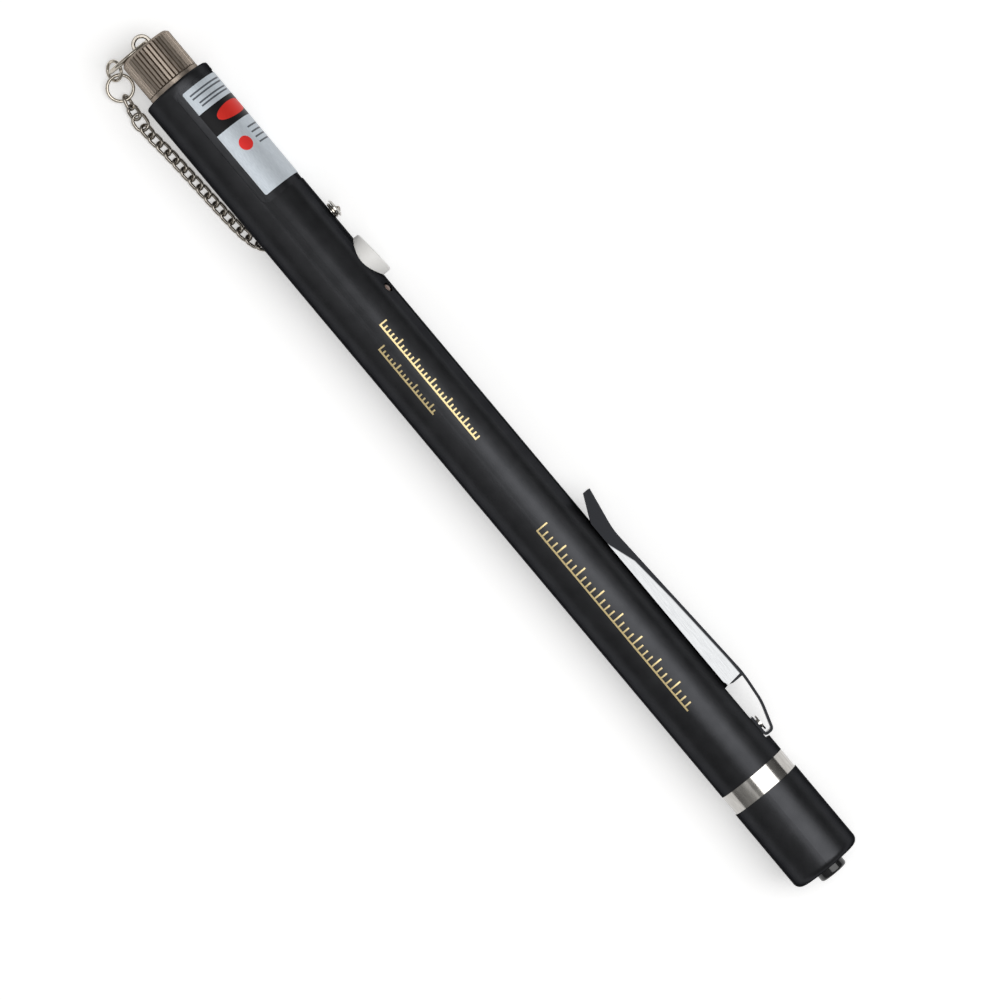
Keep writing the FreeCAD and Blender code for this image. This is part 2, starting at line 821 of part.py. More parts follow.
def make_cap_ring():
    """The ring that hangs through the eyelet and leans down to the floor."""
    radius = (cap_ring_diameter - cap_ring_wire) / 2
    centre_z = floor_z + cap_ring_diameter / 2 + seat_gap
    centre_y = -math.sqrt(radius ** 2 - centre_z ** 2)
    ring = wire_ring(cap_ring_diameter, cap_ring_wire, ring_opening)
    ring.rotate(vec(0, 0, 0), SIDE, 90 + cap_ring_lean)
    ring.translate(vec(cap_front - cap_ring_from_cap, centre_y, centre_z))
    return ring


def make_jump_ring():
    """The ring between the cap's ring and the chain, its front end lifted by the first."""
    radius = (jump_ring_diameter - jump_ring_wire) / 2
    lean = math.radians(jump_ring_lean)
    centre_z = floor_z + radius * math.sin(lean) + jump_ring_wire / 2 + seat_gap
    ring = wire_ring(jump_ring_diameter, jump_ring_wire, ring_opening)
    ring.rotate(vec(0, 0, 0), UP, 200)
    ring.rotate(vec(0, 0, 0), SIDE, jump_ring_lean)
    ring.translate(vec(jump_ring_x, jump_ring_y, centre_z))
    return ring


def link_sections(length, width, wire):
    """The wire's section polygons round a closed link: each end bend is a few short runs."""
    radius = (width - wire) / 2
    sections = []
    for side in (1, -1):
        centre = vec(side * (length - width) / 2, 0, 0)
        for step in range(link_bend_steps + 1):
            angle = math.pi * (step / link_bend_steps - 0.5)
            outward = vec(side * math.cos(angle), side * math.sin(angle), 0)
            tangent = UP.cross(outward)
            section = wire_section(centre + outward * radius, tangent, UP, wire)
            sections.append([vertex.Point for vertex in section.OuterWire.OrderedVertexes])
    return sections


def oval_link(length, width, wire):
    """A closed wire link in the XY plane, centred on the origin, long in X."""
    sections = link_sections(length, width, wire)
    faces = []
    for near, far in zip(sections, sections[1:] + sections[:1]):
        for side in range(wire_sides):
            after = (side + 1) % wire_sides
            corners = [near[side], near[after], far[after], far[side], near[side]]
            faces.append(Part.Face(Part.makePolygon(corners)))
    shell = Part.Shell(faces)
    shell.sewShape()
    return Part.Solid(shell)


def placed_link(link, start, end, normal, roll):
    """The link laid from start to end, its flat side to the normal, rolled about its length."""
    ahead = (end - start).normalize()
    across = normal.cross(ahead).normalize()
    face = ahead.cross(across)
    middle = (start + end) * 0.5
    matrix = FreeCAD.Matrix(ahead.x, across.x, face.x, middle.x,
                            ahead.y, across.y, face.y, middle.y,
                            ahead.z, across.z, face.z, middle.z, 0, 0, 0, 1)
    turned_link = link.copy()
    turned_link.rotate(vec(0, 0, 0), AXIS, roll)
    turned_link.Placement = FreeCAD.Placement(matrix).multiply(turned_link.Placement)
    return turned_link


link_half_height = (link_width - link_wire) / 2 * math.sin(math.radians(link_roll)) + link_wire / 2
floor_z = -barrel_radius - 2 * link_half_height - fit_gap
chain_z = floor_z + link_half_height
end_link_y = barrel_radius + link_wire / 2 + fit_gap


def chain_route():
    """The tether's middle line, from the jump ring, under the barrel, up to the screw."""
    hook_z = end_link_low_z() + link_slack
    # Along the floor: how far before the screw, and how far out from the pen's axis.
    floor_points = [(5.72, 1.274), (4.78, 1.378), (3.8, 1.333), (2.62, 1.244), (1.58, 1.12),
                    (0.97, 0.86), (0.52, 0.50), (0.2, 0.05), (0.0, -0.48)]
    points = [vec(anchor_x - before * barrel_radius, -out * barrel_radius, chain_z)
              for before, out in floor_points]
    climb = [(0.76, -1.07), (0.985, -0.90), (1.08, -0.745)]
    points += [vec(anchor_x, out * barrel_radius, up * barrel_radius) for out, up in climb]
    points.append(vec(anchor_x, end_link_y + link_wire / 2, hook_z))
    return points


def end_link_low_z():
    """Height of the inside of the lower bend of the link on the anchor screw."""
    return anchor_shank_diameter / 2 + seat_gap - (end_link_length - 2 * link_wire)


def make_chain():
    curve = Part.BSplineCurve()
    curve.interpolate(chain_route())
    pitch = link_length - 2 * link_wire - link_slack
    # The links' end bends overlap, so the chain is that much longer than its pitches.
    count = round(curve.length() / pitch)
    joints = curve.discretize(Number=count + 1)
    link = oval_link(link_length, link_width, link_wire)
    big_link = oval_link(big_link_length, big_link_width, link_wire)
    links = []
    for index in range(count):
        start, end = joints[index], joints[index + 1]
        middle = (start + end) * 0.5
        # On the floor the chain lies flat; where it climbs, its flat side faces the barrel.
        normal = UP if middle.z < chain_z + 0.3 else vec(0, middle.y, middle.z).normalize()
        roll = link_roll if index % 2 else -link_roll
        if index == big_link_index:
            roll *= big_link_roll / link_roll
        if index == count - 1:
            roll = last_link_roll
        shape = big_link if index == big_link_index else link
        links.append(placed_link(shape, start, end, normal, roll))
    return Part.makeCompound(links)


def make_end_link():
    """The long link trapped under the anchor screw's head, hanging down the barrel's side."""
    link = oval_link(end_link_length, end_link_width, link_wire)
    low = end_link_low_z()
    link.rotate(vec(0, 0, 0), AXIS, 90)
    link.rotate(vec(0, 0, 0), SIDE, 90)
    link.translate(vec(anchor_x, end_link_y, low - link_wire + end_link_length / 2))
    return link


def make_anchor_screw():
    head_y = end_link_y + link_wire / 2 + 2 * fit_gap
    shank_foot = bore_radius - 0.35
    shank = pin(vec(anchor_x, shank_foot, 0), SIDE, anchor_shank_diameter, head_y - shank_foot)
    rim = anchor_head_diameter / 2
    top = head_y + anchor_head_height
    edge = anchor_head_height * 0.6
    profile = [vec(anchor_x, head_y, 0), vec(anchor_x + rim, head_y, 0),
               vec(anchor_x + rim, top - edge, 0), vec(anchor_x + rim - edge, top, 0),
               vec(anchor_x, top, 0)]
    face = Part.Face(Part.makePolygon(profile + profile[:1]))
    head = face.revolve(vec(anchor_x, 0, 0), SIDE, 360)
    socket = pin(vec(anchor_x, top - edge, 0), SIDE, anchor_socket_diameter, anchor_head_height)
    return shank.fuse(head).removeSplitter().cut(socket)


# ---------------------------------------------------------------- all the pieces
def make_all():
    return {
        "barrel": make_barrel(),
        "port_body": make_port_body(),
        "ferrule_sleeve": make_ferrule_sleeve(),
        "sleeve_retainer": make_sleeve_retainer(),
        "lens": make_lens(),
        "laser_housing": make_laser_housing(),
        "laser_diode": make_laser_diode(),
        "diode_retainer": make_diode_retainer(),
        "inner_frame": make_inner_frame(),
        "circuit_board": make_circuit_board(),
        "board_chips": make_board_chips(),
        "tact_switch": make_tact_switch(),
        "switch_plunger": make_switch_plunger(),
        "side_button": make_side_button(),
        "indicator_light": make_indicator_light(),
        "front_contact": make_front_contact(),
        "front_cell": make_cell(cell_front),
        "rear_cell": make_cell(cell_front + cell_length + seat_gap),
        "tail_spring": make_tail_spring(),
        "tail_switch": make_tail_switch(),
        "tail_plunger": make_tail_plunger(),
        "tail_button": make_tail_button(),
        "tail_cap": make_tail_cap(),
        "chrome_ring": make_chrome_ring(),
        "label_plate": make_label_plate(),
        "pocket_clip": make_pocket_clip(),
        "clip_rivet": make_clip_rivet(),
        "dust_cap": make_dust_cap(),
        "cap_seal": make_cap_seal(),
        "cap_eyelet": make_cap_eyelet(),
        "cap_ring": make_cap_ring(),
        "jump_ring": make_jump_ring(),
        "chain": make_chain(),
        "anchor_screw": make_anchor_screw(),
        "end_link": make_end_link(),
    }


os.makedirs("parts", exist_ok=True)
for name, shape in make_all().items():
    shape.exportStep(os.path.join("parts", name + ".step"))
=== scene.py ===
import bpy
import math
from mathutils import Matrix, Vector


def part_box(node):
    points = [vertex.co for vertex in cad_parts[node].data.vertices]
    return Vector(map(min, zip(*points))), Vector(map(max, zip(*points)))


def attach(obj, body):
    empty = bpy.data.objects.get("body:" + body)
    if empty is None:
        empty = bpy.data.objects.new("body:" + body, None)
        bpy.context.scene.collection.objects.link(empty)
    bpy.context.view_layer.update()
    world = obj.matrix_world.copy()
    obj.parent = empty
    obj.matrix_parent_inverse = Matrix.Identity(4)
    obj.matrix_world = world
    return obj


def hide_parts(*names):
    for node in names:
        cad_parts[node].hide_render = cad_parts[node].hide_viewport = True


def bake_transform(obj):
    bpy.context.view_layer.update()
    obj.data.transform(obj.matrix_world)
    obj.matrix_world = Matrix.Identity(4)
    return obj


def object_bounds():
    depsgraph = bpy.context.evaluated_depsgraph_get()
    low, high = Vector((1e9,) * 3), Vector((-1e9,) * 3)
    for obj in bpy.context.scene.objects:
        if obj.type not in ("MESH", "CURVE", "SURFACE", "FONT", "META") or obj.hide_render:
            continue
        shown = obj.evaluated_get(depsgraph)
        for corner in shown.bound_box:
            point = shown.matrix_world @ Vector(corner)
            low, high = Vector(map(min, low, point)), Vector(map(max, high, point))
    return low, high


# Looks for the pen-type visual fault locator. Metres; a length in millimetres is times MM.
# +X runs from the port to the tail, +Y is the side of the button and the clip, and the floor
# is under -Z.
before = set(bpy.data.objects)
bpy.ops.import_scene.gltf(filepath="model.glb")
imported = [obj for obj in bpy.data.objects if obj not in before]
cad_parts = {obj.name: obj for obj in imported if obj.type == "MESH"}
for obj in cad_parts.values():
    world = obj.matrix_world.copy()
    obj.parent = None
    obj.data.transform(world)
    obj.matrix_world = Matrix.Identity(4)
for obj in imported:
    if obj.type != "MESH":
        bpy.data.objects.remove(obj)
low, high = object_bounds()
MM = 0.001
UP = Vector((0, 0, 1))


# ---------------------------------------------------------------- camera
CAMERA_PLACE = (0.1000, -0.0031, 1.06)
CAMERA_COSINE, CAMERA_SINE = 0.6419, 0.7668     # of its turn about the vertical, 50.1 degrees
SENSOR_WIDTH, FOCAL_LENGTH = 36, 216            # millimetres


def make_camera():
    """Straight above the pen, which runs from the upper left to the lower right."""
    right = Vector((CAMERA_COSINE, CAMERA_SINE, 0))
    up = Vector((-CAMERA_SINE, CAMERA_COSINE, 0))
    back = right.cross(up)
    data = bpy.data.cameras.new("camera")
    data.sensor_width = SENSOR_WIDTH
    data.lens = FOCAL_LENGTH
    data.clip_start = 0.01
    data.clip_end = 20
    camera = bpy.data.objects.new("camera", data)
    bpy.context.scene.collection.objects.link(camera)
    matrix = Matrix((right, up, back)).transposed().to_4x4()
    matrix.translation = Vector(CAMERA_PLACE)
    camera.matrix_world = matrix
    bpy.context.scene.camera = camera


# ---------------------------------------------------------------- node materials
class Nodes:
    """A short way to write a material's nodes."""

    def __init__(self, name):
        self.material = bpy.data.materials.new(name)
        self.material.use_nodes = True
        self.tree = self.material.node_tree
        self.shader = self.tree.nodes["Principled BSDF"]
        self.coords = self.tree.nodes.new("ShaderNodeTexCoord").outputs["Object"]

    def set(self, **sockets):
        """Fixed values on the shader; an underscore stands for a space in a socket's name."""
        for name, value in sockets.items():
            self.shader.inputs[name.replace("_", " ")].default_value = value
        return self

    def link(self, output, name):
        self.tree.links.new(output, self.shader.inputs[name])

    def math(self, operation, a, b=0.0):
        node = self.tree.nodes.new("ShaderNodeMath")
        node.operation = operation
        for socket, value in zip(node.inputs, (a, b)):
            if isinstance(value, (int, float)):
                socket.default_value = value
            else:
                self.tree.links.new(value, socket)
        return node.outputs[0]

    def split(self):
        """The place on the piece as x, y and z."""
        node = self.tree.nodes.new("ShaderNodeSeparateXYZ")
        self.tree.links.new(self.coords, node.inputs[0])
        return node.outputs

    def noise(self, per_metre, detail=3.0, stretch=(1, 1, 1)):
        mapping = self.tree.nodes.new("ShaderNodeMapping")
        mapping.inputs["Scale"].default_value = stretch
        self.tree.links.new(self.coords, mapping.inputs["Vector"])
        node = self.tree.nodes.new("ShaderNodeTexNoise")
        node.inputs["Scale"].default_value = per_metre
        node.inputs["Detail"].default_value = detail
        self.tree.links.new(mapping.outputs[0], node.inputs["Vector"])
        return node.outputs["Fac"]

    def ramp(self, factor, stops):
        """A colour that goes through stops of (place, colour) as factor goes from 0 to 1."""
        node = self.tree.nodes.new("ShaderNodeValToRGB")
        elements = node.color_ramp.elements
        while len(elements) < len(stops):
            elements.new(0.5)
        for element, (place, colour) in zip(elements, stops):
            element.position = place
            element.color = (*colour, 1)
        self.tree.links.new(factor, node.inputs["Fac"])
        return node.outputs["Color"]

    def between(self, factor, lowest, highest):
        """A value that goes from lowest to highest as factor goes from 0 to 1."""
        node = self.tree.nodes.new("ShaderNodeMapRange")
        node.inputs["To Min"].default_value = lowest
        node.inputs["To Max"].default_value = highest
        self.tree.links.new(factor, node.inputs["Value"])
        return node.outputs["Result"]

    def mix(self, factor, first, second):
        """The first colour where factor is 0 and the second where it is 1."""
        node = self.tree.nodes.new("ShaderNodeMix")
        node.data_type = "RGBA"
        sockets = [s for s in node.inputs if s.type == "RGBA"]
        for socket, value in zip(sockets, (first, second)):
            if isinstance(value, tuple):
                socket.default_value = (*value, 1)
            else:
                self.tree.links.new(value, socket)
        self.tree.links.new(factor, node.inputs["Factor"])
        return [o for o in node.outputs if o.type == "RGBA"][0]

    def bump(self, height, distance, strength):
        node = self.tree.nodes.new("ShaderNodeBump")
        node.inputs["Distance"].default_value = distance
        node.inputs["Strength"].default_value = strength
        self.tree.links.new(height, node.inputs["Height"])
        self.link(node.outputs["Normal"], "Normal")


def black_coating():
    """Satin black anodised aluminium, with a very fine grain and quiet edges."""
    m = Nodes("black_coating").set(Metallic=1.0, Specular_Tint=(0.24, 0.24, 0.24, 1))
    patches = m.noise(300, 4)
    m.link(m.ramp(patches, [(0.3, (0.038, 0.039, 0.042)), (0.75, (0.050, 0.051, 0.055))]),
           "Base Color")
    m.link(m.between(patches, 0.38, 0.46), "Roughness")
    m.bump(m.noise(9000, 2), 0.01 * MM, 0.25)
    return m.material


def metal(name, dark, light, rough, stretch=(1, 1, 1), scale=2500, edge=1.0):
    """Plated or polished metal: tint and gloss vary in fine strokes; edge dims it at its rim."""
    m = Nodes(name).set(Metallic=1.0, Specular_Tint=(edge, edge, edge, 1))
    strokes = m.noise(scale, 4, stretch)
    m.link(m.ramp(strokes, [(0.3, dark), (0.7, light)]), "Base Color")
    m.link(m.between(strokes, rough * 0.75, rough * 1.3), "Roughness")
    m.bump(strokes, 0.002 * MM, 0.2)
    return m.material


def clip_steel():
    """Spring steel, polished on its walls, with painted shade at the tip, the rolled edge and the
    neck: a near-black band where the bent steel reflects dark.
    """
    m = Nodes("spring_steel").set(Metallic=1.0)
    strokes = m.noise(6000, 4, (0.08, 1, 1))
    polished = m.ramp(strokes, [(0.3, (0.25, 0.255, 0.26)), (0.7, (0.31, 0.315, 0.32))])
    # Painted shade: this near-black colour stands in for the dark that the bent, edge-on steel
    # reflects.
    shadow = (0.012, 0.0125, 0.014)
    x, y, _ = m.split()
    clip_low, clip_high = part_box("pocket_clip")
    place = m.math("DIVIDE", m.math("SUBTRACT", x, clip_low.x), clip_high.x - clip_low.x)

    def along(stops):
        """A value that changes from the clip's tip, 0, to its root, 1."""
        return m.ramp(place, [(where, (value, value, value)) for where, value in stops])

    # Depth of the outer face under the clip's highest point, and of the band of painted shade
    # under that, both in depth units. The band's edge is a blur of a share of a unit.
    depth_unit, edge_blur = 5 * MM, 1 / 25
    outer = along([(0.0, 0.0), (0.12, 0.25), (0.19, 0.27), (0.72, 0.02), (0.80, 0.01),
                   (0.90, 0.12), (1.0, 0.46)])
    band = along([(0.0, 0.9), (0.15, 0.60), (0.28, 0.20), (0.45, 0.13), (0.787, 0.12),
                  (0.791, 0.9)])
    depth = m.math("DIVIDE", m.math("SUBTRACT", clip_high.y, y), depth_unit)
    inside = m.math("SUBTRACT", m.math("SUBTRACT", depth, outer), band)
    clear_of_painted_shade = m.between(
        m.math("ADD", m.math("MULTIPLY", inside, 1 / edge_blur), 0.5), 0.0, 1.0)
    # Painted shade inside the band, polished steel clear of it.
    m.link(m.mix(clear_of_painted_shade, shadow, polished), "Base Color")
    m.link(m.between(strokes, 0.16, 0.26), "Roughness")
    m.bump(strokes, 0.001 * MM, 0.05)
    return m.material


def plastic(name, dark, light, rough):
    """Moulded plastic or another dense material, with a fine grain."""
    m = Nodes(name)
    specks = m.noise(6000, 3)
    m.link(m.ramp(specks, [(0.3, dark), (0.7, light)]), "Base Color")
    m.link(m.between(specks, rough * 0.85, rough * 1.2), "Roughness")
    m.bump(specks, 0.006 * MM, 0.25)
    return m.material


def clear(name, colour, transmission):
    """Clear or smoky material that lets light through."""
    m = Nodes(name).set(Transmission_Weight=transmission, Roughness=0.06, IOR=1.49)
    m.link(m.ramp(m.noise(900), [(0.3, colour), (0.8, tuple(c * 0.9 for c in colour))]),
           "Base Color")
    return m.material


def label_print():
    """A silvery film with a black band, a red oval on the band, a red dot and thin rules."""
    m = Nodes("label_print").set(Metallic=0.25, Specular_IOR_Level=0.12)
    x, y, z = m.split()
    brushed = m.noise(1200, 3, (1, 6, 6))
    silver = m.ramp(brushed, [(0.25, (0.50, 0.55, 0.60)), (0.75, (0.64, 0.69, 0.74))])
    black, oval_red, dot_red = (0.012, 0.012, 0.013), (0.72, 0.035, 0.025), (0.82, 0.04, 0.035)
    rule_grey = (0.10, 0.11, 0.13)

    # Places on the label in millimetres: along it from its front edge, and round the pen as an
    # arc length from the top line.
    label_low, label_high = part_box("label_plate")
    start = label_low.x
    arc = m.math("MULTIPLY", m.math("ARCTAN2", y, z), label_high.z)
    band_front, band_rear = 4.75, 9.6
    oval_place, oval_arc, oval_half_length, oval_half_arc, oval_power = 7.15, 6.3, 1.45, 4.3, 2.2
    dot_place, dot_arc, dot_radius = 13.6, 3.1, 1.35
    rule_width = 0.32
    rules = [(place, first, 9) for place, first in ((1.0, 0.6), (1.75, 0.6), (2.9, 1.2),
                                                    (3.6, 1.2))]
    rules += [(place, 5.6, 9.5) for place in (11.4, 12.5, 13.6, 14.7)]

    def band(value, lowest, highest):
        return m.math("MULTIPLY", m.math("GREATER_THAN", value, lowest),
                      m.math("LESS_THAN", value, highest))

    in_band = band(x, start + band_front * MM, start + band_rear * MM)
    colour = m.mix(in_band, silver, black)
    across = m.math("DIVIDE", m.math("SUBTRACT", arc, oval_arc * MM), oval_half_arc * MM)
    along = m.math("DIVIDE", m.math("SUBTRACT", x, start + oval_place * MM),
                   oval_half_length * MM)
    oval = m.math("ADD", m.math("POWER", m.math("ABSOLUTE", across), oval_power),
                  m.math("POWER", m.math("ABSOLUTE", along), oval_power))
    colour = m.mix(m.math("LESS_THAN", oval, 1.0), colour, oval_red)
    across = m.math("SUBTRACT", arc, dot_arc * MM)
    along = m.math("SUBTRACT", x, start + dot_place * MM)
    away = m.math("ADD", m.math("MULTIPLY", across, across), m.math("MULTIPLY", along, along))
    colour = m.mix(m.math("LESS_THAN", away, (dot_radius * MM) ** 2), colour, dot_red)
    for place, first, last in rules:
        rule = m.math("MULTIPLY", band(x, start + place * MM, start + (place + rule_width) * MM),
                      band(arc, first * MM, last * MM))
        colour = m.mix(rule, colour, rule_grey)
    m.link(colour, "Base Color")
    m.link(m.between(brushed, 0.34, 0.46), "Roughness")
    return m.material


def gold_print():
    """Gilt ink, a little uneven."""
    m = Nodes("gold_print").set(Metallic=0.6)
    flakes = m.noise(5000, 3)
    m.link(m.ramp(flakes, [(0.3, (0.60, 0.47, 0.22)), (0.7, (0.78, 0.64, 0.35))]), "Base Color")
    m.link(m.between(flakes, 0.3, 0.45), "Roughness")
    return m.material


# ---------------------------------------------------------------- CAD pieces and their looks
EDGE_ROUNDS = {"pocket_clip": 0.2, "barrel": 0.05, "side_button": 0.1}      # millimetres


def dress(node, material):
    """A carried-over CAD piece gets its material."""
    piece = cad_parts[node]
    piece.data.materials.clear()
    piece.data.materials.append(material)


def soften(node, width):
    """Small round edges on a CAD piece, so that they catch the light as real ones do."""
    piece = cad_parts[node]
    weld = piece.modifiers.new("weld", "WELD")
    weld.merge_threshold = 0.002 * MM
    bevel = piece.modifiers.new("edges", "BEVEL")
    bevel.width = width * MM
    bevel.segments = 3
    bevel.limit_method = "ANGLE"
    bevel.angle_limit = math.radians(40)
    bevel.harden_normals = True


def dress_all():
    """Every CAD piece gets its look; the looks are returned by the piece's name."""
    nickel = metal("warm_nickel", (0.29, 0.245, 0.205), (0.38, 0.325, 0.275), 0.38,
                   stretch=(0.2, 1, 1), scale=4000, edge=0.4)
    chrome = metal("chrome", (0.42, 0.405, 0.385), (0.54, 0.525, 0.50), 0.13,
                   stretch=(0.3, 1, 1), scale=1500)
    wire = metal("wire_steel", (0.30, 0.275, 0.24), (0.46, 0.425, 0.38), 0.1, edge=0.7)
    ring_steel = metal("ring_steel", (0.44, 0.40, 0.34), (0.62, 0.57, 0.50), 0.14, edge=0.8)
    brass = metal("brass", (0.50, 0.36, 0.13), (0.66, 0.49, 0.22), 0.25)
    steel = metal("contact_steel", (0.55, 0.54, 0.50), (0.70, 0.69, 0.66), 0.22)
    coat = black_coating()
    white = plastic("white_plastic", (0.84, 0.83, 0.81), (0.89, 0.88, 0.86), 0.42)
    dark = plastic("dark_plastic", (0.012, 0.012, 0.013), (0.02, 0.02, 0.022), 0.4)
    wrap = plastic("cell_wrap", (0.02, 0.03, 0.05), (0.03, 0.04, 0.07), 0.2)
    looks = {
        "barrel": coat, "tail_cap": coat, "chrome_ring": chrome, "anchor_screw": chrome,
        "clip_rivet": chrome, "pocket_clip": clip_steel(),
        "dust_cap": nickel, "port_body": nickel, "cap_ring": ring_steel,
        "cap_eyelet": wire, "jump_ring": wire, "chain": wire, "end_link": wire,
        "label_plate": label_print(), "side_button": white, "switch_plunger": white,
        "tail_button": plastic("gloss_black", (0.006, 0.006, 0.007), (0.01, 0.01, 0.011), 0.14),
        "indicator_light": clear("smoky_lens", (0.36, 0.26, 0.22), 0.35),
        "ferrule_sleeve": plastic("zirconia", (0.80, 0.79, 0.75), (0.86, 0.85, 0.82), 0.12),
        "lens": clear("lens_glass", (0.90, 0.95, 0.97), 0.95),
        "circuit_board": plastic("board_lacquer", (0.01, 0.09, 0.04), (0.02, 0.13, 0.06), 0.3),
    }
    looks.update(dict.fromkeys(("inner_frame", "tail_switch", "cap_seal", "board_chips",
                                "tact_switch", "tail_plunger"), dark))
    looks.update(dict.fromkeys(("front_contact", "tail_spring"), steel))
    looks.update(dict.fromkeys(("front_cell", "rear_cell"), wrap))
    looks.update(dict.fromkeys(("sleeve_retainer", "laser_housing", "laser_diode",
                                "diode_retainer"), brass))
    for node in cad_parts:
        dress(node, looks[node])
    for node, width in EDGE_ROUNDS.items():
        soften(node, width)
    return looks


# ---------------------------------------------------------------- new pieces
def mesh_piece(name, vertices, faces, material):
    """A new smooth piece of one material."""
    mesh = bpy.data.meshes.new(name)
    mesh.from_pydata(vertices, [], faces)
    for polygon in mesh.polygons:
        polygon.use_smooth = True
    mesh.materials.append(material)
    piece = bpy.data.objects.new(name, mesh)
    bpy.context.scene.collection.objects.link(piece)
    return piece


def wire_mesh(paths, radius, sides=10):
    """Round wire along closed paths of points: the vertices and faces of all the tubes."""
    vertices, faces = [], []
    for path in paths:
        first, count = len(vertices), len(path)
        for index, point in enumerate(path):
            along = (path[(index + 1) % count] - path[index - 1]).normalized()
            if index == 0:
                aside = along.orthogonal().normalized()
            else:
                aside = (aside - along * aside.dot(along)).normalized()
            other = along.cross(aside)
            for side in range(sides):
                turn = 2 * math.pi * side / sides
                outward = aside * math.cos(turn) + other * math.sin(turn)
                vertices.append(point + outward * radius)
        # The last ring is turned a little against the first: join each side to its nearest.
        last = vertices[-sides:]
        shift = min(range(sides), key=lambda k: (last[0] - vertices[first + k]).length)
        for index in range(count):
            here = first + index * sides
            there = first + (index + 1) % count * sides
            turn = shift if index == count - 1 else 0
            for side in range(sides):
                after = (side + 1) % sides
                faces.append((here + side, here + after, there + (after + turn) % sides,
                              there + (side + turn) % sides))
    return vertices, faces


def ring_path(centre, radius, axis, steps=48):
    """Points round a circle about an axis."""
    aside = axis.orthogonal().normalized()
    other = axis.normalized().cross(aside)
    turns = [2 * math.pi * step / steps for step in range(steps)]
    return [centre + (aside * math.cos(t) + other * math.sin(t)) * radius for t in turns]


def link_path(start, end, normal, length, width, wire, twist, roll, steps=8):
    """One chain link's middle line from start to end, twisted along its length as a curb link."""
    ahead = (end - start).normalized()
    across = normal.cross(ahead).normalized()
    face = ahead.cross(across)
    radius = (width - wire) / 2
    half = (length - width) / 2
    points = []
    for side in (1, -1):
        for step in range(steps + 1):
            turn = math.pi * (step / steps - 0.5)
            flat = (side * (half + radius * math.cos(turn)), side * radius * math.sin(turn))
            angle = roll + twist * flat[0] / (length / 2)
            points.append((start + end) / 2 + ahead * flat[0]
                          + (across * math.cos(angle) + face * math.sin(angle)) * flat[1])
    return points


def smooth_line(points, per_span=24):
    """A Catmull-Rom line through the points."""
    ends = [2 * points[0] - points[1], *points, 2 * points[-1] - points[-2]]
    line = []
    for a, b, c, d in zip(ends, ends[1:], ends[2:], ends[3:]):
        for step in range(per_span):
            t = step / per_span
            line.append(0.5 * (2 * b + (c - a) * t + (2 * a - 5 * b + 4 * c - d) * t * t
                               + (3 * b - a - 3 * c + d) * t ** 3))
    return line + [points[-1]]


def stations(line, count):
    """Points that part a line into that many equal lengths."""
    lengths = [0]
    for a, b in zip(line, line[1:]):
        lengths.append(lengths[-1] + (b - a).length)
    places, index = [], 0
    for step in range(count + 1):
        wanted = lengths[-1] * step / count
        while index < len(line) - 2 and lengths[index + 1] < wanted:
            index += 1
        span = lengths[index + 1] - lengths[index]
        places.append(line[index].lerp(line[index + 1], (wanted - lengths[index]) / span))
    return places


# The tether chain, in millimetres. A link's twist and roll are in radians.
CHAIN_WIRE = 0.64
CHAIN_PITCH = 2.1                       # about; the chain holds a whole number of links
CHAIN_REST_HEIGHT = 0.78                # of a link's middle line over the part's lowest point
LINK = (3.4, 2.3, 0.7)                  # length, width, twist
FIRST_LINK, FIRST_ROLL = (3.4, 2.3, 0.2), -1.0      # it stands up in the joining ring
LARGE_LINK, LARGE_INDEX = (3.8, 3.0, 0.25), 2
LAST_ROLL = 1.05                        # the last link turns towards the end link


def make_chain(material):
    """The curb chain of the tether, from the cap's rings, under the barrel, to the screw."""
    lie = low.z / MM + CHAIN_REST_HEIGHT
    screw_low, screw_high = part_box("anchor_screw")
    x = (screw_low.x + screw_high.x) / 2 / MM
    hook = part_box("end_link")[0].z / MM + 0.75
    route = [(2.3, -8.2, lie + 0.32), (4.35, -8.62, lie + 0.24), (9.4, -9.15, lie),
             (15.0, -8.7, lie), (21.0, -8.4, lie), (29.8, -8.0, lie), (34.6, -7.6, lie),
             (38.0, -6.6, lie), (39.9, -4.0, lie), (41.2, -0.6, lie), (x, 3.2, lie),
             (x, 5.2, lie + 0.35), (x, 6.7, lie + 1.5), (x, 7.3, lie + 2.8), (x, 7.42, hook)]
    line = smooth_line([Vector(point) * MM for point in route])
    line_length = sum((b - a).length for a, b in zip(line, line[1:]))
    count = round(line_length / (CHAIN_PITCH * MM))
    places = stations(line, count)
    paths = []
    for index, (start, end) in enumerate(zip(places, places[1:])):
        middle = (start + end) / 2
        # On the floor the links lie flat; where they rise, they lie against the barrel.
        normal = UP
        if middle.z > (lie + 0.3) * MM:
            normal = Vector((0, middle.y, middle.z)).normalized()
        (length, width, twist), roll = LINK, 0
        if index == 0:
            (length, width, twist), roll = FIRST_LINK, FIRST_ROLL
        elif index == LARGE_INDEX:
            length, width, twist = LARGE_LINK
        elif index == count - 1:
            roll = LAST_ROLL
        paths.append(link_path(start, end, normal, length * MM, width * MM, CHAIN_WIRE * MM,
                               twist, roll))
    vertices, faces = wire_mesh(paths, CHAIN_WIRE / 2 * MM)
    chain = mesh_piece("curb_chain", vertices, faces, material)
    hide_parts("chain")
    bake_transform(chain)


